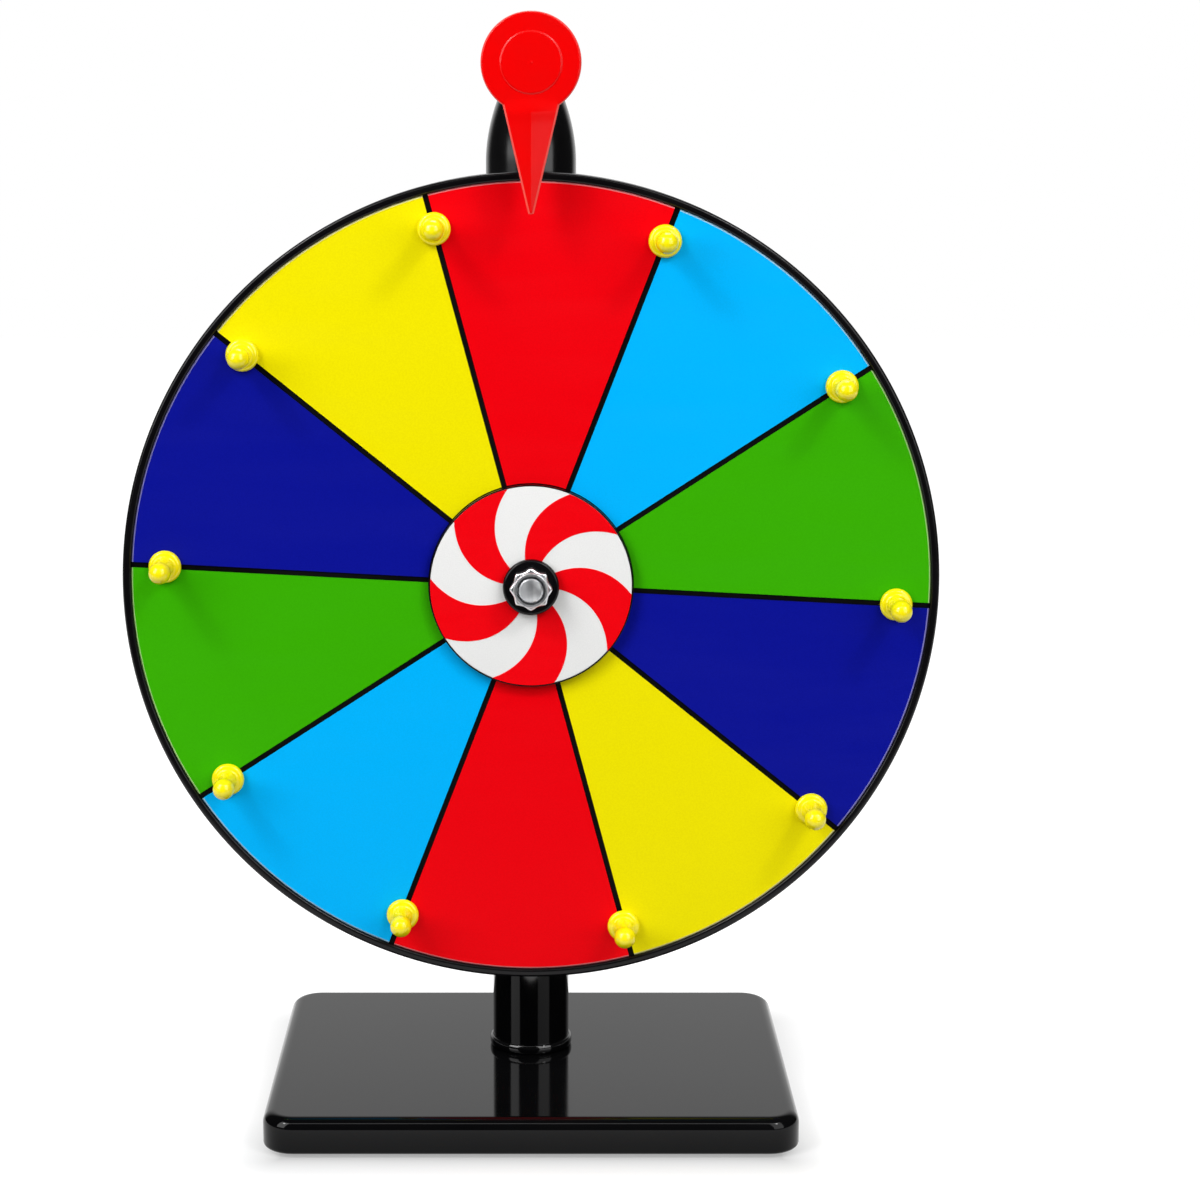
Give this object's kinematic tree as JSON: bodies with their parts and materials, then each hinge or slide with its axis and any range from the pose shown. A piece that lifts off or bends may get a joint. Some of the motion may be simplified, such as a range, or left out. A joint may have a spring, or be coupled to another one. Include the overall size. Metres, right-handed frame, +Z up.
{
  "type": "carnival game wheel",
  "caption": "Tabletop prize wheel on a weighted black stand: coloured write-on sectors with yellow pegs, swirl hub, and a sprung red pointer on a gooseneck arm.",
  "frame": {"origin": "on the table, under the middle of the base", "axes": "+Z up, the wheel's face looks along -Y, +X to the right as seen from the front"},
  "size_m": [0.3048, 0.15, 0.416],
  "materials": {
    "base_gloss": "gloss",
    "pole_paint": "gloss",
    "arm_gloss": "gloss",
    "trim_gloss": "gloss",
    "hub_plastic": "matte",
    "board_black": "satin",
    "zinc_steel": "satin",
    "bearing_steel": "polished",
    "spring_wire": "satin",
    "nut_chrome": "polished",
    "foot_rubber": "matte",
    "nylon_white": "matte",
    "panel_red": "satin",
    "panel_sky": "satin",
    "panel_green": "satin",
    "panel_navy": "satin",
    "panel_yellow": "satin",
    "swirl_white": "satin",
    "swirl_red": "satin",
    "peg_yellow": "gloss",
    "pointer_red": "gloss"
  },
  "bodies": {
    "frame": {"base_shell": "base_gloss", "ballast_plate": "zinc_steel", "ballast_screws": "zinc_steel", "rubber_feet": "foot_rubber", "pole_bolt": "zinc_steel", "pole_washer": "zinc_steel", "pole_plug": "zinc_steel", "pole": "pole_paint", "collar_ring": "pole_paint", "pointer_arm": "arm_gloss", "arm_screws": "zinc_steel", "axle_bolt": "zinc_steel", "rear_saddle": "hub_plastic", "axle_spacer": "zinc_steel", "inner_race_rear": "bearing_steel", "inner_race_front": "bearing_steel", "balls_rear": "bearing_steel", "balls_front": "bearing_steel", "race_spacer": "zinc_steel", "hub_washer": "trim_gloss", "star_nut": "nut_chrome", "pivot_screw": "zinc_steel", "thrust_washer": "nylon_white", "pointer_spring": "spring_wire"},
    "wheel": {"wheel_board": "board_black", "rim_trim": "trim_gloss", "hub_front": "trim_gloss", "hub_rear": "hub_plastic", "hub_screws": "zinc_steel", "swirl_disc": "swirl_white", "swirl_blades": "swirl_red", "outer_race_rear": "bearing_steel", "outer_race_front": "bearing_steel", "panel_01": "panel_red", "panel_02": "panel_sky", "panel_03": "panel_green", "panel_04": "panel_navy", "panel_05": "panel_yellow", "panel_06": "panel_red", "panel_07": "panel_sky", "panel_08": "panel_green", "panel_09": "panel_navy", "panel_10": "panel_yellow", "peg_01": "peg_yellow", "peg_02": "peg_yellow", "peg_03": "peg_yellow", "peg_04": "peg_yellow", "peg_05": "peg_yellow", "peg_06": "peg_yellow", "peg_07": "peg_yellow", "peg_08": "peg_yellow", "peg_09": "peg_yellow", "peg_10": "peg_yellow"},
    "pointer": {"pointer": "pointer_red", "pointer_cap": "pointer_red"}
  },
  "joints": [
    {"name": "wheel_spin", "type": "hinge", "parent": "frame", "child": "wheel", "pos_m": [0, -0.027, 0.207], "axis": [0, 1, 0], "continuous": true},
    {"name": "pointer_flick", "type": "hinge", "parent": "frame", "child": "pointer", "pos_m": [0, -0.036, 0.398], "axis": [0, 1, 0], "range_deg": [-22, 22], "stiffness_Nm_per_rad": 0.08, "deforming": ["pointer_spring"]}
  ]
}
